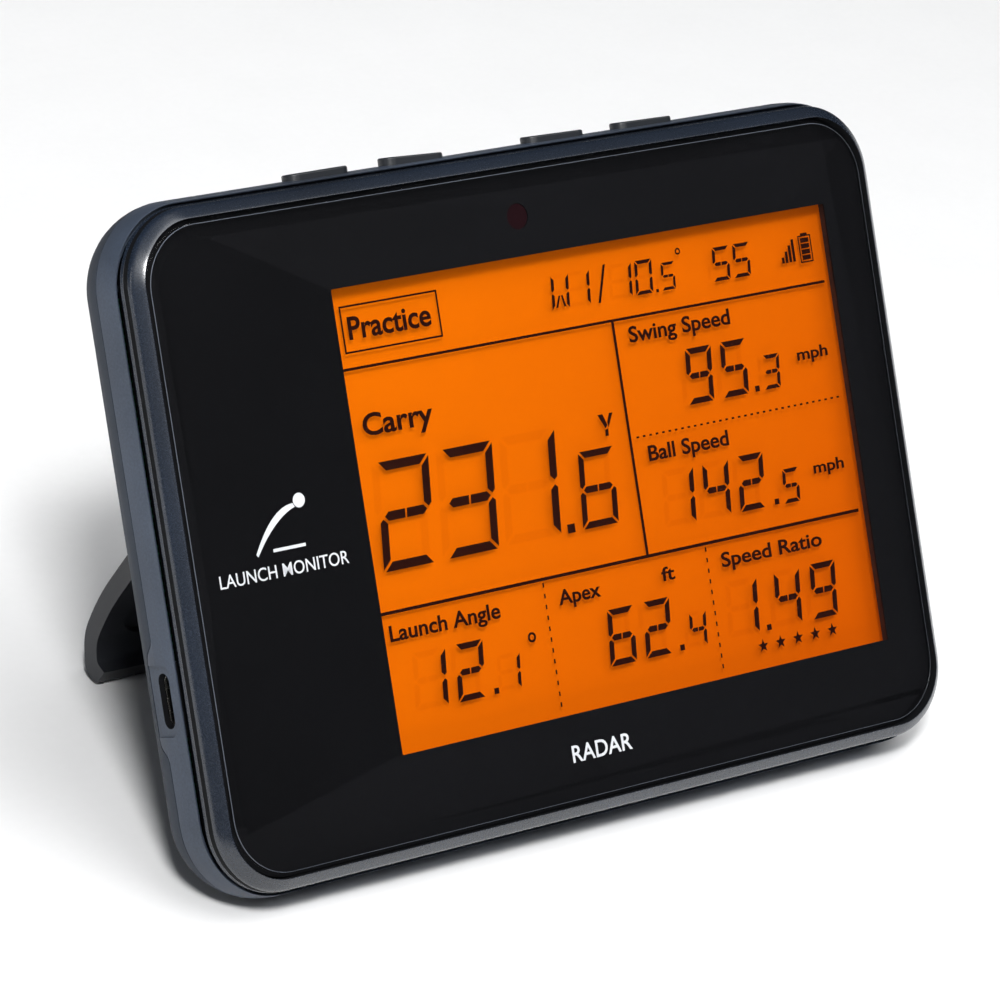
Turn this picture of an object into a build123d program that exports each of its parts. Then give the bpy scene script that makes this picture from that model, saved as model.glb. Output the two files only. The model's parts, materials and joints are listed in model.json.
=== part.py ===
from build123d import *
from math import cos, radians, sin, sqrt, tan
import os

# Portable golf launch monitor, leaning back on its fold-out stand.
#
# Each sub-part is drawn as if the case lay on its back on a bench: X to the right and Y up
# the screen, as a player sees it, and Z out of the screen. Depths are counted backwards
# from the front of the lens, so a depth d lies at Z = -d. The finished set is then stood
# up and leaned back on its feet and stand, with +Z up and the origin on the ground under
# the middle of the case. Sizes are in millimetres.

# ---------------------------------------------------------------- driving dimensions
HALF_W = 84.0            # half the case width at its widest
HALF_H = 59.5            # half the case height
CORNER_R = 15.0          # corner radius of the case outline
BACK_D = 20.75           # depth of the flat back
WIDEST_D = 8.75          # depth at which the side walls are widest
BACK_ROUND = 12.0        # rounding from the side walls into the back
WALL = 1.8               # wall of the two case mouldings

GROOVE_D = 4.45          # depth of the front edge of the main housing
FRONT_TAPER = 0.45       # how far the side wall draws in at that edge
SEAM_D = 9.5             # parting line between main housing and rear cover
SEAM_GAP = 0.22
TAB_D = 12.05            # how deep the housing reaches round the port and the buttons

BEZEL_INSET = 3.47       # inner edge of the front bezel, in from the case outline
BEZEL_PROUD = 0.25       # the bezel stands proud of the lens by this
LENS_HALF_W = 79.65
LENS_HALF_H = 55.20
LENS_R = 10.75
LENS_T = 1.5
LENS_STEP = 0.7          # the lens flange outside its raised face
WINDOW = (-41.75, 71.15, -40.4, 40.2)      # display window: left, right, bottom, top
IR_X, IR_Y, IR_R = 0.6, 47.2, 2.3

FRAME_D0, FRAME_D1 = 2.1, 3.3               # web of the display frame
GLASS_D0, GLASS_D1 = 3.5, 5.5               # liquid crystal cell
GUIDE_D0, GUIDE_D1 = 5.8, 8.0               # light guide
TRAY_D1 = 8.7
PCB_D0, PCB_D1 = 10.0, 11.2
GLASS_BOX = (-44.6, 74.0, -42.4, 43.0)
TRAY_BOX = (-45.6, 74.9, -43.4, 44.2)
PCB_BOX = (-81.0, 79.0, -43.2, 53.5)
RADAR_BOX = (-77.3, -50.2, -34.0, 34.0)
GUIDE_TOP = 39.4          # the glass ledge above the light guide takes the zebra strip

CASE_SCREW_X, CASE_SCREW_Y = 72.0, 48.5
PCB_POSTS = [(-50.0, 48.0), (-47.9, -30.0), (77.2, 28.0), (77.2, -28.0)]

BUTTON_X = (-36.45, -15.6, 16.2, 36.8)
BUTTON_TOPS = ((1.05, 1.1), (1.4, 0.75), (1.12, 0.85), (1.08, 0.82))   # height left, right
BUTTON_NAMES = ("power", "mode", "up", "down")
BUTTON_D = 8.3
BUTTON_HALF_L, BUTTON_HALF_W = 6.6, 2.0
BUTTON_CLEAR = 0.2
BUTTON_TRAVEL = 0.4

PORT_Y, PORT_D = -23.2, 8.4
PORT_SHELL_L, PORT_SHELL_T = 8.94, 3.16     # across the mouth of the socket
PORT_MOUTH_X, PORT_BACK_X = -82.35, -75.7
PORT_RECESS = (6.1, 0.55, 1.4)              # half height, depth and corner of the recess
PORT_COLLAR = (-81.25, 6.4, 6.2, 11.0)      # inner end, half height and depths of the thicker wall
PORT_CLEAR = 0.25                           # round the socket, behind the wall
PORT_OPENING = (9.5, 3.02)                  # in the wall, for the plug to pass

HINGE_Y, HINGE_D = 19.3, 18.0               # stand hinge axis
PIN_R = 1.0
KNUCKLE_R = 2.4
STAND_HALF_W = 55.0
STAND_T = 3.8
STAND_OPEN = 57.7                           # degrees from folded to open
STAND_FLAT = 50.6                           # flat run of the stand below the hinge
STAND_BEND = ((50.0, 13.9), (10.0, 46.0))   # bends near the foot: radius, heading reached
STAND_LIP = ((70.6, -5.1), (68.9, -8.3), (65.3, -8.3), (65.9, -5.7))
STAND_TOE_R, STAND_HEEL_R, STAND_NOOK_R = 3.0, 0.8, 1.6    # rounding of the foot's long edges
PAD_HALF_W, PAD_AT = 0.55, 0.66             # rubber strip under the foot, and its place there
PAD_PROUD = 0.5
STAND_RIM, STAND_HOLLOW = 4.5, 0.9          # rim round the shallow hollow in the inner face
POCKET_GAP = 0.45
POCKET_WALL = 1.4

LEAN = 30.4                                 # degrees that the case leans back
FOOT_X, FOOT_W, FOOT_L = 57.5, 20.0, 7.0

SPEAKER_X, SPEAKER_Y, SPEAKER_R = 45.0, 38.0, 9.6
BATTERY_BOX = (-32.0, 28.0, -27.0, 11.0)
BATTERY_D0, BATTERY_D1 = 11.5, 14.4
LEAD_D = 1.6


# ---------------------------------------------------------------- drawing helpers
def slab(half_w, half_h, r, d0, d1, cx=0.0, cy=0.0):
    """Plate with rounded corners between two depths."""
    face = RectangleRounded(2 * half_w, 2 * half_h, r) if r > 0 else Rectangle(2 * half_w, 2 * half_h)
    return Pos(cx, cy, -d1) * extrude(face, amount=d1 - d0)


def block(box, d0, d1, r=0.0):
    """Plate given by left, right, bottom and top."""
    left, right, bottom, top = box
    return slab((right - left) / 2, (top - bottom) / 2, r, d0, d1, (left + right) / 2, (bottom + top) / 2)


def grown(box, by):
    left, right, bottom, top = box
    return (left - by, right + by, bottom - by, top + by)


def post(x, y, r, d0, d1):
    """Round post or hole along the depth."""
    return Pos(x, y, -(d0 + d1) / 2) * Cylinder(r, d1 - d0)


def ring(section, half_w, half_h, r):
    """Carry a section round a rounded rectangle.

    The section is drawn with x measured outwards from the outline and y as -depth.
    """
    at_corner = Pos(r, 0, 0) * (Plane.XZ * section)
    corner = revolve(at_corner, axis=Axis.Z, revolution_arc=90)
    run_w, run_h = half_w - r, half_h - r
    whole = None
    for turn, (cx, cy) in enumerate(((run_w, run_h), (-run_w, run_h), (-run_w, -run_h), (run_w, -run_h))):
        length = 2 * (run_h if turn % 2 == 0 else run_w)
        side = extrude(at_corner, amount=length, dir=(0, -1, 0))
        piece = Pos(cx, cy, 0) * Rot(0, 0, 90 * turn) * (corner + side)
        whole = piece if whole is None else whole + piece
    return whole


def outline(points):
    return make_face(Polyline(*points, close=True))


def side_view(face, half_w, cx=0.0):
    """Extrude a face drawn in (up, -depth) along the width of the case."""
    return Pos(cx, 0, 0) * extrude(Plane.YZ * face, amount=half_w, both=True)


# ---------------------------------------------------------------- case body
def dome(inset):
    """Outer form of the case behind its widest line, or the same drawn in by a wall."""
    body = slab(HALF_W - inset, HALF_H - inset, CORNER_R - inset, 4.0, BACK_D - inset)
    return fillet(body.faces().sort_by(Axis.Z)[0].edges(), BACK_ROUND - inset)


def tab_face(middle, shallow, deep, grow):
    """Face of a tab that swings back from the parting line in an easy curve at each end."""
    top, rise, fall = -SEAM_D + 1, -SEAM_D, -TAB_D - grow
    left, right = middle - shallow - grow, middle + shallow + grow
    low_left, low_right = middle - deep - grow, middle + deep + grow
    level = ((-1, 0), (-1, 0))
    return make_face([Line((left, top), (right, top)), Line((right, top), (right, rise)),
                      Spline((right, rise), (low_right, fall), tangents=level),
                      Line((low_right, fall), (low_left, fall)),
                      Spline((low_left, fall), (left, rise), tangents=level),
                      Line((left, rise), (left, top))])


def port_tab(grow):
    """Part of the left wall where the housing reaches back behind the port."""
    return side_view(tab_face(PORT_Y, 10.9, 6.4, grow), 4.0, -HALF_W)


def button_tab(grow):
    """Part of the top wall where the housing reaches back behind the buttons."""
    face = tab_face(0, 52.5, 48.0, grow)
    return Pos(0, HALF_H, 0) * extrude(Plane.XZ * face, amount=4.0, both=True)


def main_housing():
    """Side wall of the case, with the button openings and the port."""
    section = outline([(-FRONT_TAPER, -GROOVE_D), (-0.12, -6.5), (0, -WIDEST_D), (0, -SEAM_D),
                       (-WALL, -SEAM_D), (-WALL, -6.0), (-0.7, -6.0), (-0.7, -4.6),
                       (-0.55, -GROOVE_D)])
    wall = ring(section, HALF_W, HALF_H, CORNER_R)
    shell = dome(0) - dome(WALL)
    wall = wall + (shell & slab(90, 65, 0, SEAM_D, 16) & (port_tab(0) + button_tab(0)))
    inner, half, d0, d1 = PORT_COLLAR
    wall += block((-HALF_W + WALL - 0.1, inner, PORT_Y - half, PORT_Y + half), d0, d1)
    wall -= port_recess()
    opening = (PORT_OPENING[0] / 2, PORT_OPENING[1] / 2)
    wall -= port_slot(opening, -HALF_W - 1, 5)
    wall -= port_slot(port_half(PORT_CLEAR), PORT_MOUTH_X - 0.1, 5)
    for x in BUTTON_X:
        wall -= button_prism(x, BUTTON_CLEAR, 56.0, 62.0)
    return wall


def port_recess():
    """Shallow rounded recess in the left wall round the port, open towards the back."""
    half_h, depth, corner = PORT_RECESS
    face = RectangleRounded(2 * half_h, 2 * (TAB_D + 3 - PORT_COLLAR[2]), corner)
    return Pos(-HALF_W + depth, PORT_Y, -TAB_D - 3) * Rot(0, -90, 0) * extrude(Rot(0, 0, 90) * face, amount=4)


def port_half(grow):
    """Half length and half width of the socket's outline, grown by a clearance."""
    return (PORT_SHELL_L / 2 + grow, PORT_SHELL_T / 2 + grow)


def port_slot(half, from_x, length):
    """Round-ended prism across the port, running inwards along X."""
    face = SlotOverall(2 * half[0], 2 * half[1])
    return Pos(from_x, PORT_Y, -PORT_D) * Rot(0, 90, 0) * Rot(0, 0, 90) * extrude(face, amount=length)


def button_prism(x, grow, y0, y1):
    """Oblong section of a button between two heights."""
    face = SlotOverall(2 * (BUTTON_HALF_L + grow), 2 * (BUTTON_HALF_W + grow))
    return Pos(x, y0, -BUTTON_D) * Rot(-90, 0, 0) * extrude(face, amount=y1 - y0)


def rear_cover():
    """Back moulding, with the pocket that takes the folded stand."""
    behind = slab(90, 65, 0, SEAM_D + SEAM_GAP, 30)
    outer = dome(0) & behind
    cover = outer - dome(WALL)
    pocket = stand_pocket(0)
    walls = stand_pocket(POCKET_WALL) & dome(0)
    cover = cover + walls
    for side in (-1, 1):
        boss = Pos(side * 58.9, HINGE_Y, -HINGE_D) * Rot(0, 90, 0) * Cylinder(3.2, 5.0)
        cover += boss & outer
    for x in (-CASE_SCREW_X, CASE_SCREW_X):
        for y in (-CASE_SCREW_Y, CASE_SCREW_Y):
            cover += post(x, y, 4.2, 16.8, BACK_D) & outer
    cover -= pocket
    for side in (-1, 1):
        cover -= Pos(side * 57.9, HINGE_Y, -HINGE_D) * Rot(0, 90, 0) * Cylinder(PIN_R, 5.2)
    for x in (-CASE_SCREW_X, CASE_SCREW_X):
        for y in (-CASE_SCREW_Y, CASE_SCREW_Y):
            cover -= post(x, y, 1.5, 15, 22)
            cover -= post(x, y, 2.9, 17.6, 22)
    cover -= port_tab(SEAM_GAP) + button_tab(SEAM_GAP)
    for row in range(-3, 4):
        half = sqrt(8.0 ** 2 - (2.3 * row) ** 2)
        slot = SlotOverall(2 * half, 1.1)
        cover -= Pos(SPEAKER_X, SPEAKER_Y + 2.3 * row, -22) * extrude(slot, amount=4)
    for x in (-FOOT_X, FOOT_X):
        cover -= rubber_foot(x, 0.0)
    return cover


# ---------------------------------------------------------------- stand
def at_stand(a, b):
    """Point of the folded stand, a below the hinge and b behind it."""
    return (HINGE_Y - a, -(HINGE_D + b))


def bend_points(k):
    """Flat end and bend arcs of the stand, a distance k in from its outer face."""
    (r1, turn1), (r2, turn2) = STAND_BEND
    c1 = (STAND_FLAT, KNUCKLE_R - r1)
    heading = radians(turn1)
    joint = (c1[0] + r1 * sin(heading), c1[1] + r1 * cos(heading))
    c2 = (joint[0] - r2 * sin(heading), joint[1] - r2 * cos(heading))

    def on(centre, r, degrees):
        return at_stand(centre[0] + (r - k) * sin(radians(degrees)), centre[1] + (r - k) * cos(radians(degrees)))

    return [on(c1, r1, 0), on(c1, r1, turn1 / 2), on(c1, r1, turn1),
            on(c2, r2, (turn1 + turn2) / 2), on(c2, r2, turn2)]


def blade_face(k_out, k_in, a0, tip):
    """Side view of the stand between two offsets from its outer face."""
    out, back = bend_points(k_out), bend_points(k_in)
    edges = [Line(at_stand(a0, KNUCKLE_R - k_out), out[0]),
             ThreePointArc(out[0], out[1], out[2]), ThreePointArc(out[2], out[3], out[4])]
    path = [out[4]] + [at_stand(a, b) for a, b in tip] + [back[4]]
    edges += [Line(p, q) for p, q in zip(path[:-1], path[1:])]
    edges += [ThreePointArc(back[4], back[3], back[2]), ThreePointArc(back[2], back[1], back[0]),
              Line(back[0], at_stand(a0, KNUCKLE_R - k_in)),
              Line(at_stand(a0, KNUCKLE_R - k_in), at_stand(a0, KNUCKLE_R - k_out))]
    return make_face(edges)


def stand_pocket(grow):
    """Room in the back for the folded stand, with a scoop for a fingertip."""
    clear = POCKET_GAP + grow
    floor = STAND_T + clear + 0.05
    back = bend_points(floor)
    lip_b = -8.3 - clear - 0.2
    corners = [at_stand(-KNUCKLE_R - clear, 5.0 + grow), at_stand(-KNUCKLE_R - clear, -2.45 - clear),
               at_stand(3.6 + clear, -2.45 - clear), at_stand(4.6 + clear, KNUCKLE_R - floor), back[0]]
    edges = [Line(p, q) for p, q in zip(corners[:-1], corners[1:])]
    edges += [ThreePointArc(back[0], back[1], back[2]), ThreePointArc(back[2], back[3], back[4])]
    rest = [back[4], at_stand(64.6 - grow, lip_b), at_stand(71.4 + clear, lip_b),
            at_stand(71.4 + clear, 5.0 + grow), corners[0]]
    edges += [Line(p, q) for p, q in zip(rest[:-1], rest[1:])]
    room = side_view(make_face(edges), STAND_HALF_W + clear)
    scoop = post(0, -52.0, 9.0 + grow, 13.6 - grow, 24)
    return room + scoop


def opened(shape):
    """Turn a folded stand piece about the hinge to its open stop."""
    return Pos(0, HINGE_Y, -HINGE_D) * Rot(STAND_OPEN, 0, 0) * Pos(0, -HINGE_Y, HINGE_D) * shape


def lip_pad(grow):
    """Strip on the face that the stand's foot rests on."""
    p1, p2 = at_stand(*STAND_LIP[0]), at_stand(*STAND_LIP[1])
    along = Vector(p2[0] - p1[0], p2[1] - p1[1]).normalized()
    out = Vector(along.Y, -along.X)
    if out.X > 0:
        out = out * -1
    middle = Vector(*p1) * (1 - PAD_AT) + Vector(*p2) * PAD_AT
    corners = [middle + along * s * PAD_HALF_W + out * t for s, t in
               ((-1, -0.7), (1, -0.7), (1, PAD_PROUD), (-1, PAD_PROUD))]
    return side_view(outline([(c.X, c.Y) for c in corners]), 46.0 + grow)


def long_edge(blade, corner):
    """The edge of the stand that runs across it at a corner of its side view."""
    y, z = at_stand(*corner)
    return [e for e in blade.edges().filter_by(Axis.X) if abs(e.center().Y - y) + abs(e.center().Z - z) < 0.1]


def stand_plate():
    """Bent stand with a raised rim, a lipped foot and two knuckles."""
    face = blade_face(0, STAND_T, 0.0, STAND_LIP)
    blade = side_view(face, STAND_HALF_W)
    toe, heel, _, nook = STAND_LIP
    for corner, r in ((toe, STAND_TOE_R), (heel, STAND_HEEL_R), (nook, STAND_NOOK_R)):
        blade = fillet(long_edge(blade, corner), r)
    knuckle = Pos(0, HINGE_Y, -HINGE_D) * Rot(0, 90, 0) * Cylinder(KNUCKLE_R, 2 * STAND_HALF_W)
    blade += knuckle
    hollow = side_view(blade_face(STAND_T - STAND_HOLLOW, STAND_T + 3.0, 7.0, ()), STAND_HALF_W)
    half = STAND_HALF_W - STAND_RIM
    blade -= hollow & block((-half, half, HINGE_Y - 62.5, HINGE_Y - 7.0), 0, 40, STAND_RIM)
    for side in (-1, 1):
        bore = Pos(side * (STAND_HALF_W - 2.75), HINGE_Y, -HINGE_D) * Rot(0, 90, 0) * Cylinder(PIN_R + 0.05, 5.5)
        blade -= bore
    return opened(blade - lip_pad(0))


def stand_pad():
    return opened(lip_pad(0))


def hinge_pin(side):
    """Steel pin pressed into the pocket wall and turning in the stand."""
    return Pos(side * 55.25, HINGE_Y, -HINGE_D) * Rot(0, 90, 0) * Cylinder(PIN_R, 10.5)


def hinge_washer(side):
    """Friction washer that holds the stand where it is put."""
    disc = Cylinder(KNUCKLE_R - 0.1, 0.36) - Cylinder(PIN_R + 0.03, 2)
    return Pos(side * (STAND_HALF_W + 0.24), HINGE_Y, -HINGE_D) * Rot(0, 90, 0) * disc


# ---------------------------------------------------------------- standing on the ground
def down():
    """Direction to the ground in the bench frame, as (up, -depth)."""
    return (-cos(radians(LEAN)), -sin(radians(LEAN)))


def ground_offset():
    """Distance from the bench frame's X axis to the ground, along down()."""
    folded = [at_stand(*STAND_LIP[0]), at_stand(*STAND_LIP[1])]
    dy, dz = down()
    turn = radians(STAND_OPEN)
    reach = []
    for y, z in folded:
        ry, rz = y - HINGE_Y, z + HINGE_D
        oy = HINGE_Y + ry * cos(turn) - rz * sin(turn)
        oz = -HINGE_D + ry * sin(turn) + rz * cos(turn)
        reach.append(oy * dy + oz * dz)
    return max(reach) + PAD_PROUD


def rubber_foot(x, grow):
    """Foot pad let into the rounded lower back edge, flat on the ground."""
    dy, dz = down()
    ay, az = -dz, dy
    ground = ground_offset()
    centre = (-(HALF_H - BACK_ROUND), -WIDEST_D)
    along = centre[0] * ay + centre[1] * az
    half = FOOT_L / 2
    top = BACK_ROUND + centre[0] * dy + centre[1] * dz - 1.1
    corners = [(ay * s + dy * t, az * s + dz * t) for s, t in
               ((along - half, top), (along + half, top), (along + half, ground), (along - half, ground))]
    pad = side_view(outline(corners), FOOT_W / 2 + grow, x)
    return pad


# ---------------------------------------------------------------- front
def front_lens():
    face = slab(LENS_HALF_W, LENS_HALF_H, LENS_R, 0, LENS_STEP)
    face = chamfer(face.faces().sort_by(Axis.Z)[-1].edges(), 0.27)
    return face + slab(LENS_HALF_W + 0.7, LENS_HALF_H + 0.7, LENS_R + 0.7, LENS_STEP, LENS_T)


def lens_print():
    sheet = slab(LENS_HALF_W + 0.6, LENS_HALF_H + 0.6, LENS_R + 0.6, LENS_T, LENS_T + 0.2)
    return sheet - block(WINDOW, 1, 3, 0.3) - post(IR_X, IR_Y, IR_R, 1, 3)


def lens_tape():
    outer = slab(LENS_HALF_W + 0.3, LENS_HALF_H + 0.3, LENS_R + 0.3, LENS_T + 0.2, FRAME_D0)
    return outer - slab(LENS_HALF_W - 3, LENS_HALF_H - 3, LENS_R - 3, 1, 3)


def ir_filter():
    return post(IR_X, IR_Y, IR_R + 0.9, LENS_T + 0.2, FRAME_D1)


def front_bezel():
    wall, hook = -1.14, -4.6
    slope = [(-1.75, -1.14), (-3.23, 0.14), (-3.38, BEZEL_PROUD), (-BEZEL_INSET, BEZEL_PROUD - 0.05)]
    path = slope + [(-BEZEL_INSET, -5.0), (hook, -5.0), (hook, -5.8), (wall, -5.8), (wall, -2.6)]
    edges = [Line(p, q) for p, q in zip(path[:-1], path[1:])]
    section = make_face(edges + [ThreePointArc(path[-1], (-1.34, -1.7), slope[0])])
    return ring(section, HALF_W, HALF_H, CORNER_R)


def display_frame():
    """Black inner frame behind the lens, with the posts that carry board and rear cover."""
    half_w, half_h, r = LENS_HALF_W + 0.7, LENS_HALF_H + 0.65, LENS_R + 0.6
    frame = slab(half_w, half_h, r, FRAME_D0, FRAME_D1)
    skirt = slab(half_w, half_h, r, FRAME_D1, 4.9) - slab(half_w - 1.4, half_h - 1.4, r - 1.4, 3, 6)
    frame += skirt
    for x in (-CASE_SCREW_X, CASE_SCREW_X):
        for y in (-CASE_SCREW_Y, CASE_SCREW_Y):
            frame += post(x, y, 3.2, FRAME_D1, 16.8)
            frame -= post(x, y, 1.25, 7.0, 18)
    for x, y in PCB_POSTS:
        frame += post(x, y, 1.9, FRAME_D1, PCB_D0)
        frame -= post(x, y, 0.95, 5.0, 11)
    for x in RADAR_BOX[:2]:
        for y in (-31.0, 31.0):
            frame += slab(2.5, 1.5, 0, FRAME_D1, 3.8, x, y)
    frame -= block(grown(WINDOW, 0.3), 1, 4, 0.3)
    frame -= post(IR_X, IR_Y, IR_R + 1.0, 1, 4)
    return frame


# ---------------------------------------------------------------- display
def lcd_gasket():
    return block(grown(GLASS_BOX, -0.6), FRAME_D1, GLASS_D0) - block(grown(WINDOW, 0.5), 3, 4)


def lcd_glass():
    return block(GLASS_BOX, GLASS_D0, GLASS_D1)


def guide_box():
    left, right, bottom, _ = GLASS_BOX
    return (left + 0.2, right - 1.4, bottom + 0.2, GUIDE_TOP)


def lcd_diffuser():
    return block(guide_box(), GLASS_D1, GUIDE_D0)


def lcd_light_guide():
    return block(guide_box(), GUIDE_D0, GUIDE_D1)


def led_bar():
    right = GLASS_BOX[1]
    strip = block((right - 0.7, right - 0.1, -38, 38), GUIDE_D0 + 0.1, GUIDE_D1)
    for n in range(8):
        y = -33.25 + 9.5 * n
        strip += block((right - 1.3, right - 0.7, y - 1.5, y + 1.5), GUIDE_D0 + 0.4, GUIDE_D1 - 0.3)
    return strip


def lcd_tray():
    left, right = TRAY_BOX[:2]
    tray = block(TRAY_BOX, GLASS_D0, TRAY_D1, 0.8) - block(grown(GLASS_BOX, 0.1), 3, GUIDE_D1)
    return tray - block((left + 4, right - 10, 40.0, 42.8), 3, 9)


def lcd_zebra_strip():
    left, right = TRAY_BOX[:2]
    return block((left + 4.4, right - 10.4, 40.3, 42.4), GLASS_D1, PCB_D0)


# ---------------------------------------------------------------- electronics
def ir_receiver():
    return slab(3.5, 2.6, 0, 5.6, PCB_D0, IR_X, IR_Y + 0.4) + Pos(IR_X, IR_Y + 0.4, -5.6) * Sphere(1.9)


def main_pcb():
    board = block(PCB_BOX, PCB_D0, PCB_D1, 1.0)
    for side in (-1, 1):
        board -= slab(7.5, 5.0, 0, 9, 12, side * (CASE_SCREW_X + 2.5), CASE_SCREW_Y + 1.0)
    for x, y in PCB_POSTS:
        board -= post(x, y, 1.25, 9, 12)
    return board


def pcb_screws():
    group = []
    for x, y in PCB_POSTS:
        head = post(x, y, 1.75, PCB_D1, 12.5)
        cross = slab(1.1, 0.22, 0, 12.0, 13, x, y) + slab(0.22, 1.1, 0, 12.0, 13, x, y)
        group.append(head - cross + post(x, y, 0.95, 5.6, PCB_D1))
    return Compound(children=group)


def case_screws():
    group = []
    for x in (-CASE_SCREW_X, CASE_SCREW_X):
        for y in (-CASE_SCREW_Y, CASE_SCREW_Y):
            head = post(x, y, 2.5, 17.6, 19.2)
            head = chamfer(head.edges().filter_by(GeomType.CIRCLE).sort_by(Axis.Z)[0], 0.4)
            cross = slab(1.5, 0.3, 0, 18.2, 20, x, y) + slab(0.3, 1.5, 0, 18.2, 20, x, y)
            group.append(head - cross + post(x, y, 1.25, 8.0, 17.6))
    return Compound(children=group)


def radar_board():
    return block(RADAR_BOX, 3.8, 5.0, 1.0)


def antenna_patches():
    """Copper patches of the transmit column and the two receive columns."""
    group = []
    for column in range(3):
        for row in range(6):
            x, y = -70.5 + 7.5 * column, -16.25 + 6.5 * row
            group.append(slab(1.7, 1.4, 0, 3.6, 3.8, x, y))
    return Compound(children=group)


def radar_shield():
    can = slab(12.0, 20.0, 0.6, 5.0, 7.6, -62.8, -8.0)
    return can - slab(11.7, 19.7, 0.4, 4.9, 7.3, -62.8, -8.0)


def radar_connector():
    return slab(8.0, 1.8, 0, 5.0, PCB_D0, -63.0, 27.0)


def processor_chip():
    return slab(5.0, 5.0, 0, PCB_D1, 12.4, 65.5, -8.0)


def display_driver_chip():
    return slab(4.0, 4.0, 0, PCB_D1, 12.2, 65.5, 8.0)


def wireless_module():
    return slab(6.0, 8.0, 0.5, PCB_D1, 13.2, -66.0, 32.0)


def pressure_sensor():
    return slab(1.5, 1.5, 0, PCB_D1, 12.2, 66.0, -24.0) - post(66.0, -24.0, 0.4, 11.8, 13)


def charger_coil():
    return post(-66.0, -14.0, 3.0, PCB_D1, 14.0)


def battery_tape():
    left, right, bottom, top = BATTERY_BOX
    return block((left + 5, right - 5, bottom + 4, top - 4), PCB_D1, BATTERY_D0)


def battery():
    cell = block(BATTERY_BOX, BATTERY_D0, BATTERY_D1, 1.5)
    return cell + slab(10.0, 1.2, 0, BATTERY_D0 + 0.4, BATTERY_D1 - 0.4, -20.0, BATTERY_BOX[3] + 1.0)


def lead_route():
    """Route of the battery lead: out of the cell, round, and into its plug."""
    start = Vector(-26.0, BATTERY_BOX[3] + 2.2, -12.9)
    return [start, Vector(-26.0, 21.5, -12.9), Vector(-33.5, 29.5, -12.9), Vector(-43.0, 29.5, -12.9)]


def battery_lead():
    points = lead_route()
    radii = []
    for a, b, c in zip(points[:-2], points[1:-1], points[2:]):
        turn = radians((b - a).get_angle(c - b))
        radii.append(0.45 * min((b - a).length, (c - b).length) / tan(turn / 2))
    path = FilletPolyline(*points, radius=radii)
    profile = Plane(origin=points[0], z_dir=(0, 1, 0)) * Circle(LEAD_D / 2)
    return sweep(profile, path=path)


def battery_plug():
    end = lead_route()[-1]
    return slab(3.0, 3.2, 0, PCB_D1, 14.6, end.X - 3.0, end.Y)


def speaker():
    body = post(SPEAKER_X, SPEAKER_Y, SPEAKER_R, 15.4, 18.4)
    body += post(SPEAKER_X, SPEAKER_Y, 6.0, 13.9, 15.4)
    return body - post(SPEAKER_X, SPEAKER_Y, 8.2, 18.0, 19)


def speaker_gasket():
    return post(SPEAKER_X, SPEAKER_Y, SPEAKER_R, 18.4, BACK_D - WALL) - post(SPEAKER_X, SPEAKER_Y, 8.6, 18, 20)


def speaker_contacts():
    group = [slab(0.6, 0.9, 0, PCB_D1, 15.4, SPEAKER_X + dx, SPEAKER_Y + 7.6) for dx in (-2.0, 2.0)]
    return Compound(children=group)


def usb_socket():
    length = PORT_BACK_X - PORT_MOUTH_X
    shell = port_slot(port_half(0), PORT_MOUTH_X, length)
    shell -= port_slot(port_half(-0.3), PORT_MOUTH_X, length - 0.8)
    tabs = slab(1.2, 5.4, 0, 9.0, PCB_D0, -78.3, PORT_Y) - slab(3, 4.1, 0, 8, 11, -78.3, PORT_Y)
    return shell + tabs


def usb_tongue():
    return block((PORT_MOUTH_X + 0.9, PORT_BACK_X - 0.8, PORT_Y - 3.35, PORT_Y + 3.35),
                 PORT_D - 0.35, PORT_D + 0.35)


# ---------------------------------------------------------------- buttons
def button(n):
    """One top button: sloping cap, retaining ears and the stem that meets its switch."""
    x = BUTTON_X[n]
    left, right = BUTTON_TOPS[n]
    cap = button_prism(x, 0, 56.9, HALF_H + 3)
    over = outline([(-10, HALF_H + left - (right - left) * 0.2), (10, HALF_H + right + (right - left) * 0.2),
                    (10, HALF_H + 6), (-10, HALF_H + 6)])
    cap -= Pos(x, 0, -BUTTON_D) * extrude(over, amount=5, both=True)
    top_edges = cap.faces().sort_by(Axis.Y)[-1].edges()
    cap = fillet(top_edges, 0.35)
    ears = slab(8.3, 0.3, 0, BUTTON_D - 2.0, BUTTON_D + 2.0, x, 57.2)
    stem = slab(1.5, 0.95, 0, BUTTON_D - 1.2, BUTTON_D + 1.2, x, 55.95)
    return cap + ears + stem


def switch_plunger(n):
    return Pos(BUTTON_X[n], 54.2, -BUTTON_D) * Rot(90, 0, 0) * Cylinder(0.9, 1.6)


def switch(n):
    x = BUTTON_X[n]
    body = slab(3.0, 1.9, 0, 6.4, PCB_D0, x, 52.3)
    well = Pos(x, 53.5, -BUTTON_D) * Rot(90, 0, 0) * Cylinder(1.15, 1.7)
    return body - well


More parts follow.
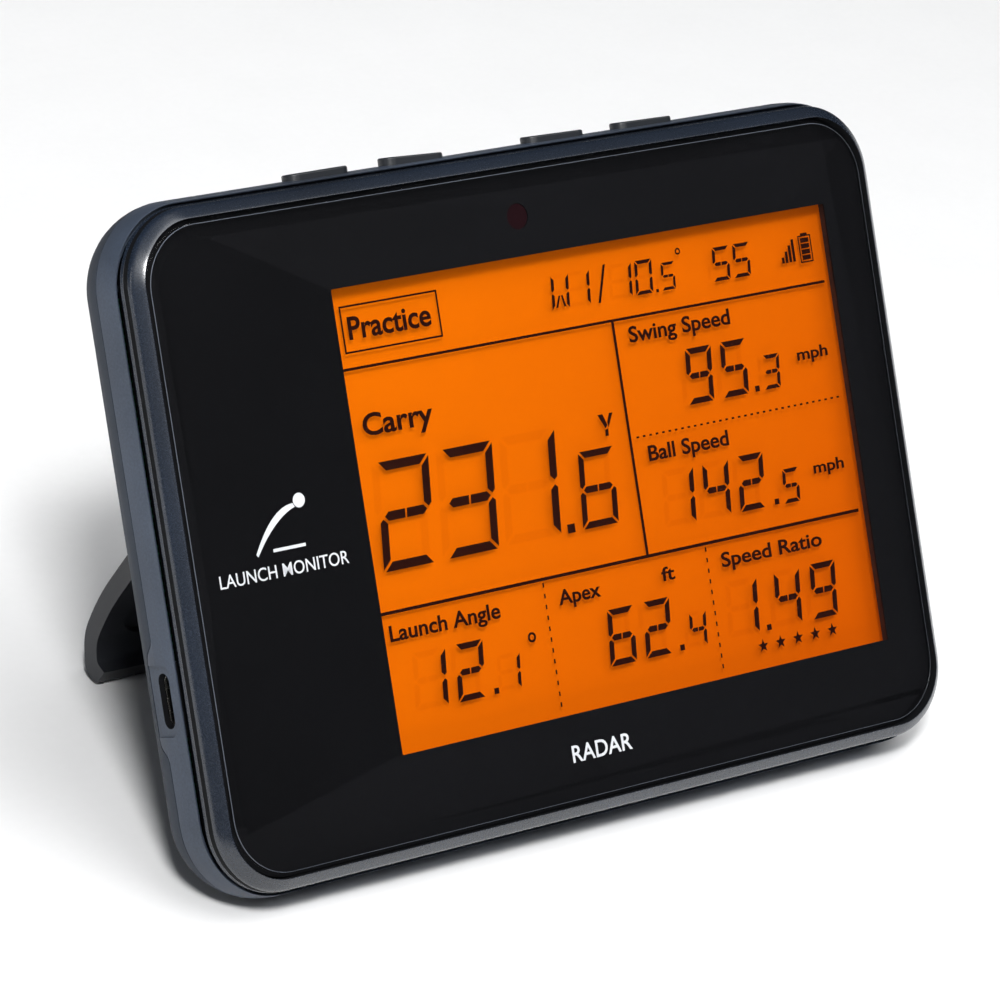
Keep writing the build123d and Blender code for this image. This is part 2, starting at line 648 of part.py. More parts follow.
# ---------------------------------------------------------------- the set
def make_all():
    nodes = {
        "front_lens": front_lens(), "lens_print": lens_print(), "lens_tape": lens_tape(),
        "ir_filter": ir_filter(), "front_bezel": front_bezel(), "display_frame": display_frame(),
        "main_housing": main_housing(), "rear_cover": rear_cover(), "case_screws": case_screws(),
        "lcd_gasket": lcd_gasket(), "lcd_glass": lcd_glass(), "lcd_diffuser": lcd_diffuser(),
        "lcd_light_guide": lcd_light_guide(), "led_bar": led_bar(), "lcd_tray": lcd_tray(),
        "lcd_zebra_strip": lcd_zebra_strip(), "ir_receiver": ir_receiver(), "main_pcb": main_pcb(),
        "pcb_screws": pcb_screws(), "radar_board": radar_board(), "antenna_patches": antenna_patches(),
        "radar_shield": radar_shield(), "radar_connector": radar_connector(),
        "processor_chip": processor_chip(), "display_driver_chip": display_driver_chip(),
        "wireless_module": wireless_module(), "pressure_sensor": pressure_sensor(),
        "charger_coil": charger_coil(), "battery_tape": battery_tape(), "battery": battery(),
        "battery_lead": battery_lead(), "battery_plug": battery_plug(), "speaker": speaker(),
        "speaker_gasket": speaker_gasket(), "speaker_contacts": speaker_contacts(),
        "usb_socket": usb_socket(), "usb_tongue": usb_tongue(), "stand_plate": stand_plate(),
        "stand_pad": stand_pad(), "foot_left": rubber_foot(-FOOT_X, 0), "foot_right": rubber_foot(FOOT_X, 0),
        "hinge_pin_left": hinge_pin(-1), "hinge_pin_right": hinge_pin(1),
        "hinge_washer_left": hinge_washer(-1), "hinge_washer_right": hinge_washer(1),
    }
    for n, name in enumerate(BUTTON_NAMES):
        nodes["button_" + name] = button(n)
        nodes["plunger_" + name] = switch_plunger(n)
        nodes["switch_" + name] = switch(n)
    return nodes


def standing(nodes):
    """Stand the set up, leaned back, with the ground at Z = 0 and the box centred."""
    turn = Rot(90 - LEAN, 0, 0)
    turned = {name: turn * shape for name, shape in nodes.items()}
    boxes = [shape.bounding_box() for shape in turned.values()]
    mid_y = (min(b.min.Y for b in boxes) + max(b.max.Y for b in boxes)) / 2
    place = Pos(0, -mid_y, ground_offset())
    return {name: place * shape for name, shape in turned.items()}, place * turn


NODES, PLACE = standing(make_all())

if __name__ == "__main__":
    os.makedirs("parts", exist_ok=True)
    for node_name, node_shape in NODES.items():
        export_step(node_shape, "parts/" + node_name + ".step")
    print(len(NODES), "nodes; ground at", round(ground_offset(), 3), "from the lens centre line")
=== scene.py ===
# %% Load the fixed frame
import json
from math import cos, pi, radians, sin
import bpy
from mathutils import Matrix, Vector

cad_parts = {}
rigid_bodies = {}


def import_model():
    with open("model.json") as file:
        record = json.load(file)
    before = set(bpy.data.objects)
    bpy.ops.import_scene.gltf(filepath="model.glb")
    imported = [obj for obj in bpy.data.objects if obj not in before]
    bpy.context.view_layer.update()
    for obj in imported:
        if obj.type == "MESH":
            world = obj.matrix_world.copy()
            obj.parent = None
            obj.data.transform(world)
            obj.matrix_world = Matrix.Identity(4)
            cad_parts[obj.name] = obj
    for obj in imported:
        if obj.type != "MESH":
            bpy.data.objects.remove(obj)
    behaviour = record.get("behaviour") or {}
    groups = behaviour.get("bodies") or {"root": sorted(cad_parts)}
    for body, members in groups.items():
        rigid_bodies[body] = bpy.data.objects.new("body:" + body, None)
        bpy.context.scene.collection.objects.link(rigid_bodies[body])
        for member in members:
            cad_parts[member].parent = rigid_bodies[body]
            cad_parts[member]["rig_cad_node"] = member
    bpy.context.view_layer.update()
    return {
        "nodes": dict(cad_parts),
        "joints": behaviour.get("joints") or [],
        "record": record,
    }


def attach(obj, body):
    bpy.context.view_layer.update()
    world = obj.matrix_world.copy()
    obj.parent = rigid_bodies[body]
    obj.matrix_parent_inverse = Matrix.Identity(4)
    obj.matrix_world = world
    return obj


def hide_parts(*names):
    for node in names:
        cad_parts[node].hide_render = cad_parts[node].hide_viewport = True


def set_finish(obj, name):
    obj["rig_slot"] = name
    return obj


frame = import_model()

# %% [markdown]
# # A golf launch monitor in Blender
# The case, its board, its stand and its keys come from the CAD frame, which already holds every
# size. This lesson gives each of them its surface, rounds the edges that a moulding tool rounds,
# and draws what the CAD leaves out: the readout of the liquid crystal display.

MM = 0.001
NODES = frame["nodes"]
BODY_OF = {n: body for body, names in frame["record"]["behaviour"]["bodies"].items() for n in names}
SLOT_OF = {row["node"]: row["material_slot"] for row in frame["record"]["subparts"]}

# %% [markdown]
# ## The screen's own frame
# The case leans back on its stand, so up the screen is not straight up. The keys in the top edge
# slide straight down the screen, and that gives its direction. New pieces are drawn flat in this
# frame, X to the right, Y up the screen and Z out of it, and are then stood up.

# %% Find the screen
slide = next(j for j in frame["joints"] if j["name"] == "press_power")
RIGHT = Vector((1, 0, 0))
UP = -Vector(slide["axis"]).normalized()
OUT = RIGHT.cross(UP)


def reach(node, direction):
    """Least and greatest distance of a node along a direction."""
    along = [v.co.dot(direction) for v in NODES[node].data.vertices]
    return min(along), max(along)


lens_low, lens_high = reach("front_lens", UP)
lens_front = reach("front_lens", OUT)[1]
TO_ROW = Matrix((RIGHT, UP, OUT)).transposed().to_4x4()
TO_ROW.translation = UP * (lens_low + lens_high) / 2 + OUT * lens_front
print("the lens is", round((lens_high - lens_low) / MM, 2), "mm high")

# %% [markdown]
# ## Small helpers
# Operators act on whatever is selected, so each helper clears the selection first. A finished
# piece has its place in its mesh, rides on a CAD body and names the material slot it shows.

# %% Select, edit and hand over a piece


def only(piece):
    """Selects one object and nothing else."""
    if bpy.context.object and bpy.context.object.mode != "OBJECT":
        bpy.ops.object.mode_set(mode="OBJECT")
    bpy.ops.object.select_all(action="DESELECT")
    piece.select_set(True)
    bpy.context.view_layer.objects.active = piece
    return piece


def edit(piece, mode="FACE"):
    """Opens a piece in edit mode, choosing faces, edges or corners."""
    only(piece)
    bpy.ops.object.mode_set(mode="EDIT")
    bpy.ops.mesh.select_mode(type=mode)


def done():
    """Leaves edit mode."""
    bpy.ops.object.mode_set(mode="OBJECT")


def stand_up(piece):
    """Puts a piece drawn in the screen's frame where it belongs."""
    only(piece)
    piece.matrix_world = TO_ROW @ piece.matrix_world
    bpy.ops.object.transform_apply(location=True, rotation=True, scale=True)
    return piece


def hand_over(piece, name, body, slot, *stands_for):
    piece.name = piece.data.name = name
    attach(piece, body)
    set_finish(piece, slot)
    if stands_for:
        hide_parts(*stands_for)
    return piece


# %% [markdown]
# ## Rounded mouldings
# A moulded edge is never knife sharp: the tool is cut with a small radius, and that radius is
# what draws the thin lights along the edges. The CAD mesh is loose triangles, so a copy is merged
# first, its flat faces are made whole, and a Bevel modifier rounds what is left.

# %% Copy a CAD node and round its edges
FLAT, CREASE = 0.8, 28.0               # degrees: faces that are one plane, edges that are rounded
SMOOTH, SMOOTH_SHARP = 40, 15          # degrees: smooth shading of rounded and of sharp pieces


def rounded_copy(node, name, radius):
    """A merged copy of a CAD node that stands for it, its edges rounded by radius millimetres."""
    piece = NODES[node].copy()
    piece.data = NODES[node].data.copy()
    del piece["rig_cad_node"]
    piece.parent = None
    bpy.context.scene.collection.objects.link(piece)
    edit(piece)
    bpy.ops.mesh.select_all(action="SELECT")
    bpy.ops.mesh.remove_doubles(threshold=0.002 * MM)
    bpy.ops.mesh.dissolve_limited(angle_limit=radians(FLAT))
    done()
    if radius:
        bevel = piece.modifiers.new("rounding", "BEVEL")
        bevel.width = radius * MM
        bevel.segments = 2
        bevel.limit_method = "ANGLE"
        bevel.angle_limit = radians(CREASE)
        bevel.use_clamp_overlap = True
        bpy.ops.object.modifier_apply(modifier=bevel.name)
    bpy.ops.object.shade_smooth_by_angle(angle=radians(SMOOTH if radius else SMOOTH_SHARP))
    level = piece.modifiers.new("flat faces stay flat", "WEIGHTED_NORMAL")
    level.keep_sharp = True
    bpy.ops.object.modifier_apply(modifier=level.name)
    hand_over(piece, name, BODY_OF[node], SLOT_OF[node], node)
    print(name, "has", len(piece.data.polygons), "faces")
    return piece


PIECES = {}
ROUNDED = {    # node: name of its copy, radius in millimetres
    "front_lens": ("lens_moulding", 0), "lens_print": ("lens_ink", 0),
    "lcd_glass": ("display_cell", 0),
    "main_housing": ("housing_moulding", 0.12), "rear_cover": ("rear_moulding", 0.06),
    "stand_plate": ("stand_moulding", 0.4), "stand_pad": ("stand_rubber", 0.15),
    "foot_left": ("foot_rubber_left", 0.3), "foot_right": ("foot_rubber_right", 0.3),
    "button_power": ("key_cap_power", 0.25), "button_mode": ("key_cap_mode", 0.25),
    "button_up": ("key_cap_up", 0.25), "button_down": ("key_cap_down", 0.25),
    "usb_socket": ("port_shell", 0.08), "usb_tongue": ("port_tongue", 0.06),
    "case_screws": ("rear_screws", 0.06), "speaker": ("speaker_driver", 0.05),
}
for node, (name, radius) in ROUNDED.items():
    PIECES[name] = rounded_copy(node, name, radius)

# %% [markdown]
# ## The front bezel
# The bezel is a painted ring whose section rolls over from a nearly upright outer wall into a
# sloping face and a crisp inner lip. Drawing it as one face and insetting that face step by step,
# a little in and a little up each time, keeps every step the same width round the corners.

# %% Draw the bezel by insets
bezel_low, bezel_high = reach("front_bezel", RIGHT)
bezel_bottom, bezel_top = reach("front_bezel", UP)
half_w = (bezel_high - bezel_low) / 2
half_h = (bezel_top - bezel_bottom) / 2
CORNER = 13.86 * MM        # corner radius of the bezel's outer wall
CORNER_STEPS = 28          # straight pieces in a rounded corner
UNDERCUT = 0.9 * MM        # how far the wall stands back below its lower edge
LIP = 0.05 * MM            # rounding of the wall's lower edge
FOOT, WALL_EDGE = -5.8, -4.0   # heights of the ring's underside and of the undercut's top, in mm
BEZEL_STEPS = (            # in from the outer wall, and height over the lens front
    (0.0, -3.5), (0.03, -3.44), (0.09, -3.36), (0.1, -3.3), (0.1, -3.08), (0.1, -2.5),
    (0.12, -2.25), (0.16, -1.98), (0.24, -1.7), (0.38, -1.4), (0.61, -1.14), (0.9, -0.87),
    (1.3, -0.52), (1.75, -0.13), (2.05, 0.1), (2.2, 0.2), (2.27, 0.24), (2.31, 0.24),
    (2.33, 0.2), (2.33, -4.9),
)


def rounded_face(half_w, half_h, corner, height):
    """A single face with rounded corners, at a height over the lens front."""
    bpy.ops.object.select_all(action="DESELECT")
    bpy.ops.mesh.primitive_plane_add(size=2, location=(0, 0, height))
    face = bpy.context.object
    face.scale = (half_w, half_h, 1)
    bpy.ops.object.transform_apply(location=True, scale=True)
    edit(face, "VERT")
    bpy.ops.mesh.select_all(action="SELECT")
    bpy.ops.mesh.bevel(affect="VERTICES", offset=corner, segments=CORNER_STEPS, profile=0.5)
    bpy.ops.mesh.select_mode(type="FACE")
    bpy.ops.mesh.select_all(action="SELECT")
    return face


def outward(half_w, half_h, by, rise):
    """Lifts the selected face and widens it by the same amount all round."""
    bpy.ops.mesh.extrude_region_move(TRANSFORM_OT_translate={"value": (0, 0, rise)})
    wider = ((half_w + by) / half_w, (half_h + by) / half_h, 1)
    bpy.ops.transform.resize(value=wider, center_override=(0, 0, 0))


bezel = rounded_face(half_w - UNDERCUT, half_h - UNDERCUT, CORNER - UNDERCUT, FOOT * MM)
bpy.ops.mesh.extrude_region_move(TRANSFORM_OT_translate={"value": (0, 0, (WALL_EDGE - FOOT) * MM)})
outward(half_w - UNDERCUT, half_h - UNDERCUT, UNDERCUT - LIP, LIP)
outward(half_w - LIP, half_h - LIP, LIP, LIP)
inward, height = 0.0, WALL_EDGE + 2 * LIP / MM
for step_in, step_height in BEZEL_STEPS:
    bpy.ops.mesh.inset(thickness=(step_in - inward) * MM, depth=(step_height - height) * MM)
    inward, height = step_in, step_height
bpy.ops.mesh.delete(type="FACE")
bpy.ops.mesh.select_all(action="DESELECT")
done()
for face in bezel.data.polygons:
    face.select = face.normal.z < -0.9
edit(bezel)
bpy.ops.mesh.delete(type="FACE")
bpy.ops.mesh.select_mode(type="EDGE")
bpy.ops.mesh.select_all(action="DESELECT")
bpy.ops.mesh.select_non_manifold()
bpy.ops.mesh.bridge_edge_loops()
bpy.ops.mesh.select_all(action="SELECT")
bpy.ops.mesh.normals_make_consistent(inside=False)
done()
bpy.ops.object.shade_smooth_by_angle(angle=radians(35))
stand_up(bezel)
PIECES["bezel_band"] = hand_over(bezel, "bezel_band", "case", "bezel_paint", "front_bezel")
print("the bezel has", len(bezel.data.polygons), "faces")

# %% [markdown]
# ## The lens edge and the lit film
# The front edge of the lens is milled off at an angle and left frosted; its light grey is partly a
# painted highlight for the thin line of light that the edge catches. The film that lights the
# display runs on under the whole glass cell.

# %% Draw the milled edge and the film
FLANGE = 0.7 * MM          # how far the lens reaches out behind its front edge
EDGE, BACK_OFF = 0.1 * MM, 0.14 * MM   # width of the milled edge, and its place in from the side
EDGE_CORNER = 10.61 * MM
PROUD = 0.008 * MM         # keeps the band clear of the lens
lens_half_w = reach("front_lens", RIGHT)[1] - FLANGE
lens_half_h = (lens_high - lens_low) / 2 - FLANGE
rim = rounded_face(lens_half_w - BACK_OFF, lens_half_h - BACK_OFF, EDGE_CORNER, -EDGE)
bpy.ops.mesh.inset(thickness=EDGE, depth=EDGE + PROUD)
bpy.ops.mesh.delete(type="FACE")
done()
wall = rim.modifiers.new("thickness", "SOLIDIFY")
wall.thickness = 0.03 * MM
wall.offset = -1.0
bpy.ops.object.modifier_apply(modifier=wall.name)
bpy.ops.object.shade_smooth_by_angle(angle=radians(35))
PIECES["lens_milled_edge"] = hand_over(stand_up(rim), "lens_milled_edge", "case", "clear_acrylic")


def plate(left, right, bottom, top, front, back):
    """A flat box given in millimetres in the screen's frame."""
    bpy.ops.object.select_all(action="DESELECT")
    middle = [(a + b) / 2 * MM for a, b in ((left, right), (bottom, top), (front, back))]
    bpy.ops.mesh.primitive_cube_add(size=1, location=middle)
    box = bpy.context.object
    box.scale = ((right - left) * MM, (top - bottom) * MM, (front - back) * MM)
    bpy.ops.object.transform_apply(location=True, scale=True)
    return box


FILM_D = -5.52             # the film's front face, in millimetres behind the lens front
film = plate(-44.3, 74.0, -42.2, 40.2, FILM_D, FILM_D - 0.2)
PIECES["lit_film"] = hand_over(stand_up(film), "lit_film", "case", "diffuser_film", "lcd_diffuser")
print("the edge band has", len(rim.data.polygons), "faces")

# %% [markdown]
# ## The readout
# A segment display is etched artwork: every bar of every figure is its own electrode. A bar that
# is driven turns dark, and the others stay just visible. The artwork is drawn as closed outlines
# in one flat curve and then made a mesh with a little thickness. It lies inside the glass.

# %% One figure as a set of bars
READOUT_D = -4.0 * MM      # where the liquid crystal lies
SLANT = 0.1                # figures lean to the right by this
FIGURES = {                # sign: the bars it drives
    "0": "abcdef", "1": "bc", "2": "abged", "3": "abgcd", "4": "fgbc", "5": "afgcd",
    "6": "afgedc", "9": "abfgcd", "W": "febcxy", "8": "abcdefg",
}


def bars(w, h, s):
    """The bars of a figure of width w, height h and stroke s, as outlines."""
    e, m = 0.24 * s, h / 2
    top = [(e, h), (w - e, h), (w - s - e, h - s), (s + e, h - s)]
    right = [(w, h - e), (w, m + 0.6 * s), (w - 0.4 * s, m + 0.25 * s),
             (w - s, m + 0.8 * s), (w - s, h - s - e)]
    low_right = [(x, h - y) for x, y in right]
    left_half = [(0.65 * s, m), (1.15 * s, m + s / 2), (w / 2 - e / 2, m + s / 2),
                 (w / 2 - e / 2, m - s / 2), (1.15 * s, m - s / 2)]
    foot, head = 0.6 * s, m - 0.9 * s
    stroke = [(1.25 * s, foot), (2.0 * s, foot), (w / 2 - 0.1 * s, head), (w / 2 - 0.7 * s, head)]
    return {
        "a": [top], "d": [[(x, h - y) for x, y in top]], "b": [right], "c": [low_right],
        "f": [[(w - x, y) for x, y in right]], "e": [[(w - x, y) for x, y in low_right]],
        "g": [left_half, [(w - x, y) for x, y in left_half]],
        "x": [stroke], "y": [[(w - x, y) for x, y in stroke]],
    }


def figure(sign, x, y, w, h, s):
    """(driven bars, resting bars) of one figure, with its lower left corner at x, y."""
    driven, resting = [], []
    for key, outlines in bars(w, h, s).items():
        moved = [[(x + a + SLANT * b, y + b) for a, b in outline] for outline in outlines]
        if key in FIGURES[sign]:
            driven += moved
        elif key not in "xy":
            resting += moved
    return driven, resting


def oblong(x0, y0, x1, y1):
    return [(x0, y0), (x1, y0), (x1, y1), (x0, y1)]


def disc(x, y, r, n=24):
    return [(x + r * cos(2 * pi * k / n), y + r * sin(2 * pi * k / n)) for k in range(n)]


def star(x, y, r):
    """A five-pointed star: ten corners, far and near by turns."""
    reach_of = [r if k % 2 == 0 else 0.42 * r for k in range(10)]
    return [(x + q * sin(pi * k / 5), y + q * cos(pi * k / 5)) for k, q in enumerate(reach_of)]


print("a figure 8 has", sum(len(v) for k, v in bars(6, 10, 1).items() if k in FIGURES["8"]), "bars")

# %% [markdown]
# The figures come in four sizes: the carry distance is the largest, then the five other results,
# their smaller decimals, and the row of settings at the top.

# %% Lay out the figures, in millimetres from the middle of the screen
BIG, TENTH = (11.3, 18.8, 1.6), (8.2, 13.6, 1.2)   # width, height and stroke of a figure
RESULT, SMALL, SETTING = (6.1, 10.0, 1.08), (3.9, 6.2, 0.72), (4.0, 6.1, 0.66)
TABLE = [                  # figure, left, base line, size
    ("2", -37.9, -9.3, BIG), ("3", -23.8, -9.3, BIG), ("1", -9.7, -9.3, BIG),
    ("6", 6.6, -9.25, TENTH),
    ("9", 34.7, 8.7, RESULT), ("5", 43.0, 8.7, RESULT), ("3", 52.9, 8.7, SMALL),
    ("1", 26.4, -12.1, RESULT), ("4", 34.7, -12.1, RESULT), ("2", 43.0, -12.1, RESULT),
    ("5", 53.5, -12.3, SMALL),
    ("1", -34.6, -34.1, RESULT), ("2", -26.3, -34.1, RESULT), ("1", -16.1, -34.0, SMALL),
    ("6", 8.1, -34.1, RESULT), ("2", 16.4, -34.1, RESULT), ("4", 26.9, -34.1, SMALL),
    ("1", 37.2, -34.1, RESULT), ("4", 47.5, -34.1, RESULT), ("9", 56.2, -34.1, RESULT),
    ("W", 7.2, 29.7, SETTING), ("1", 12.0, 29.7, SETTING), ("1", 21.7, 29.7, SETTING),
    ("0", 26.5, 29.7, SETTING), ("5", 32.6, 29.7, (3.2, 4.95, 0.52)),
    ("5", 44.8, 29.6, SETTING), ("5", 49.7, 29.6, SETTING),
]
DRIVEN, RESTING = [], []
for sign, x, y, size in TABLE:
    dark, faint = figure(sign, x, y, *size)
    DRIVEN += dark
    RESTING += faint
DRIVEN += [oblong(3.15, -9.35, 4.85, -7.75)]
POINTS = (                 # left, bottom and side of each other decimal point
    (51.3, -12.1, 1.05), (50.7, 8.7, 1.05), (-18.3, -34.1, 1.05),
    (24.4, -34.1, 1.05), (45.1, -34.1, 1.05), (31.2, 29.6, 0.6),
)
DRIVEN += [oblong(x, y, x + side, y + side) for x, y, side in POINTS]
slash = [(17.7, 29.6), (18.25, 29.6), (20.45, 36.2), (19.9, 36.2)]
yards_mark = [[(13.6, 10.15), (14.75, 10.15), (15.55, 8.1), (15.0, 7.6)],
              [(17.1, 10.15), (16.25, 10.15), (15.6, 8.6), (15.75, 7.7)],
              [(14.85, 7.3), (15.6, 7.5), (15.5, 6.2), (14.75, 6.2)]]
DRIVEN += [slash] + yards_mark
STAR_X, STAR_PITCH = 43.6, 4.2
DRIVEN += [star(STAR_X + STAR_PITCH * k, -36.65, 1.25) for k in range(5)]
print(len(DRIVEN), "driven bars and", len(RESTING), "resting bars")

# %% [markdown]
# Fine rules part the readout into fields, the mode has a frame, and a battery and a strength
# sign stand at the end of the top row. A ring is an outline inside another.

# %% Rules, frames and signs
LEFT, END, FLOOR, CEILING = -43.9, 70.9, -16.25, 26.1   # where the long rules run, in mm
RULES = [oblong(LEFT, CEILING - 0.25, END, CEILING + 0.25),
         oblong(LEFT, FLOOR - 0.3, END, FLOOR + 0.3),
         oblong(19.85, FLOOR + 0.3, 20.45, CEILING - 0.25)]
mode_frame = [oblong(-38.95, 28.75, -17.6, 37.0), oblong(-38.6, 29.1, -17.95, 36.65)]
RULES += mode_frame
DASH, DASH_PITCH = 0.6, 1.5
for k in range(33):
    start = 21.65 + DASH_PITCH * k
    RULES.append(oblong(start, 4.7, start + DASH, 5.05))
for x in (-4.3, 33.4):
    RULES += [oblong(x, -17.7 - 1.93 * k, x + 0.33, -16.9 - 1.93 * k) for k in range(12)]
for x, y, r in ((-8.35, -25.8, 0.92), (37.4, 36.2, 0.62)):   # degree signs
    RULES += [disc(x, y, r), disc(x, y, 0.52 * r)]
battery = [oblong(65.95, 30.1, 69.05, 35.1), oblong(66.2, 30.35, 68.8, 34.85),
           oblong(66.7, 35.1, 68.3, 35.5)]
RULES += battery
charge = [oblong(66.5, 30.6 + 1.05 * k, 68.5, 31.45 + 1.05 * k) for k in range(4)]
strength = [oblong(61.5 + 0.9 * k, 30.6, 62.1 + 0.9 * k, 31.7 + k) for k in range(4)]
RULES += charge + strength
print(len(RULES), "outlines in the rules")


def artwork(outlines, name, slot, depth, thickness=0.03):
    """Closed outlines as one thin mesh in the display."""
    drawing = bpy.data.curves.new(name, "CURVE")
    drawing.dimensions = "2D"
    drawing.fill_mode = "BOTH"
    drawing.extrude = thickness / 2 * MM
    for outline in outlines:
        line = drawing.splines.new("POLY")
        line.points.add(len(outline) - 1)
        for point, (x, y) in zip(line.points, outline):
            point.co = (x * MM, y * MM, 0, 1)
        line.use_cyclic_u = True
    piece = bpy.data.objects.new(name, drawing)
    bpy.context.scene.collection.objects.link(piece)
    only(piece)
    bpy.ops.object.convert(target="MESH")
    piece = bpy.context.object
    piece.location.z = depth
    stand_up(piece)
    return hand_over(piece, name, "case", slot)


PIECES["readout_figures"] = artwork(DRIVEN, "readout_figures", "lcd_cell", READOUT_D)
PIECES["readout_rules"] = artwork(RULES, "readout_rules", "lcd_cell", READOUT_D)
RESTING_D = (FILM_D + 0.01) * MM      # the resting bars lie on the film
PIECES["readout_resting"] = artwork(RESTING, "readout_resting", "diffuser_film", RESTING_D, 0.014)

# %% [markdown]
# The field names are etched too. They are plain measuring words, set in Blender's own font, made
# a mesh, and fitted to the width and height that each field leaves for them.

# %% Field names
LABELS = (   # words, left, right, base line, height of a capital
    ("Practice", -37.6, -19.6, 31.15, 4.0), ("Carry", -37.7, -22.4, 14.4, 3.9),
    ("Swing Speed", 23.4, 47.2, 21.7, 2.9), ("Ball Speed", 23.8, 42.7, 0.3, 2.85),
    ("mph", 61.7, 69.1, 12.8, 2.2), ("mph", 61.6, 69.0, -8.0, 2.2), ("ft", 22.6, 25.7, -21.2, 2.5),
    ("Launch Angle", -38.8, -14.4, -21.2, 2.85), ("Apex", -1.2, 8.4, -21.35, 2.7),
    ("Speed Ratio", 36.8, 61.0, -21.1, 2.7),
)


TEXT_SIZE = 1.37           # size of the font over the height of its capitals


def label(words, left, right, base, capital, depth=READOUT_D, weight=0.03):
    """Words fitted between two ends, as a mesh in the screen's frame; weight thickens them."""
    bpy.ops.object.select_all(action="DESELECT")
    bpy.ops.object.text_add()
    text = bpy.context.object
    text.data.body = words
    text.data.size = TEXT_SIZE * capital * MM
    text.data.offset = weight * capital * MM
    text.data.extrude = 0.015 * MM
    text.data.resolution_u = 4
    bpy.ops.object.convert(target="MESH")
    text = bpy.context.object
    across = [v.co.x for v in text.data.vertices]
    stretch = (right - left) * MM / (max(across) - min(across))
    text.scale.x = stretch
    text.location = (left * MM - stretch * min(across), base * MM, depth)
    bpy.ops.object.transform_apply(location=True, scale=True)
    return text


def joined(pieces):
    """Joins pieces into the first of them."""
    only(pieces[0])
    for piece in pieces[1:]:
        piece.select_set(True)
    bpy.ops.object.join()
    return pieces[0]


words = joined([label(*row) for row in LABELS])
PIECES["readout_words"] = hand_over(stand_up(words), "readout_words", "case", "lcd_cell")
print("the field names have", len(words.data.polygons), "faces")

# %% [markdown]
# ## Marks printed on the lens
# The blank left of the display carries a plain sign, a ball over the arc of its flight, with the
# name of the instrument under it, and one word stands under the display. They are printed on the
# back of the lens, in front of the black.

# %% Print the marks
PRINT_D = -1.44 * MM
STEPS = 16                 # straight pieces in the arc
rise = [1 - (1 - k / STEPS) ** 2 for k in range(STEPS + 1)]
flight = [(-65.6 + 9.0 * k / STEPS, -1.6 + 7.4 * up) for k, up in enumerate(rise)]
swell = [1.25 * sin(pi * (0.12 + 0.7 * k / STEPS)) for k in range(STEPS + 1)]
flight_path = flight + [(x + 0.35, y - wide) for (x, y), wide in zip(flight[::-1], swell[::-1])]
sign = artwork([flight_path, disc(-55.2, 6.1, 1.25), oblong(-62.0, -1.75, -55.2, -1.2)],
               "lens_sign", "black_print", PRINT_D)
PIECES["lens_sign"] = sign
marks = joined([label("LAUNCH MONITOR", -73.9, -46.7, -6.1, 2.35, PRINT_D, weight=0.004),
                label("RADAR", -5.4, 8.2, -48.7, 3.1, PRINT_D, weight=0.015)])
PIECES["lens_words"] = hand_over(stand_up(marks), "lens_words", "case", "black_print")
print("the marks have", len(marks.data.polygons) + len(sign.data.polygons), "faces")

# %% [markdown]
# ## Materials
# One function turns a hex colour into linear light, and one adds a node with its settings, the
# values of its sockets and its links. Every pattern is set by a real size in millimetres.

# %% Colour and node helpers


def srgb(code):
    """An sRGB hex colour as linear red, green, blue and alpha."""
    parts = [int(code[k:k + 2], 16) / 255 for k in (1, 3, 5)]
    return tuple(c / 12.92 if c <= 0.04045 else ((c + 0.055) / 1.055) ** 2.4 for c in parts) + (1.0,)


def add(material, kind, settings=(), values=(), links=()):
    """Adds a node with its settings, socket values and links."""
    node = material.node_tree.nodes.new(kind)
    for name, value in dict(settings).items():
        setattr(node, name, value)
    for socket, value in dict(values).items():
        node.inputs[socket].default_value = value
    for socket, source in dict(links).items():
        material.node_tree.links.new(source, node.inputs[socket])
    return node


def blank(name):
    material = bpy.data.materials.new(name)
    material.use_nodes = True
    material.node_tree.nodes.clear()
    return material


def ramp(material, factor, stops):
    """A colour ramp from (place, hex colour) stops."""
    node = add(material, "ShaderNodeValToRGB", links={"Fac": factor})
    for k, (place, colour) in enumerate(stops):
        stop = node.color_ramp.elements[k] if k < 2 else node.color_ramp.elements.new(place)
        stop.position, stop.color = place, srgb(colour)
    return node.outputs["Color"]


def output(material, shader):
    add(material, "ShaderNodeOutputMaterial", links={"Surface": shader})
    return material


def arithmetic(material, operation, values=(), links=()):
    return add(material, "ShaderNodeMath", {"operation": operation}, values, links).outputs[0]


def noise(material, place, size, detail, roughness=0.5):
    """A noise whose lumps measure about size in millimetres."""
    values = {"Scale": 1 / (size * MM), "Detail": detail, "Roughness": roughness}
    return add(material, "ShaderNodeTexNoise", values=values, links={"Vector": place}).outputs["Fac"]


def spread(material, factor, least, greatest, start=0.0, end=1.0):
    """Lays the run of a factor from start to end over least to greatest."""
    values = {"From Min": start, "From Max": end, "To Min": least, "To Max": greatest}
    return add(material, "ShaderNodeMapRange", values=values, links={"Value": factor}).outputs[0]


def raised(material, height, depth):
    """A surface raised by a height pattern, depth millimetres at most."""
    values = {"Distance": depth * MM}
    return add(material, "ShaderNodeBump", values=values, links={"Height": height}).outputs[0]


print("mid grey is", [round(c, 3) for c in srgb("#808080")])

# %% [markdown]
# ## Mouldings and paint
# Most of the pieces are moulded plastic or have a sprayed or printed skin. All share one recipe:
# a fine grain gives the height and the gloss, and a slow drift gives the colour its life. What
# differs is the size of the grain, how deep it is and how glossy the skin is.

# %% Grained surfaces
DRIFT = 26                 # size in millimetres of the slow drift in the colour


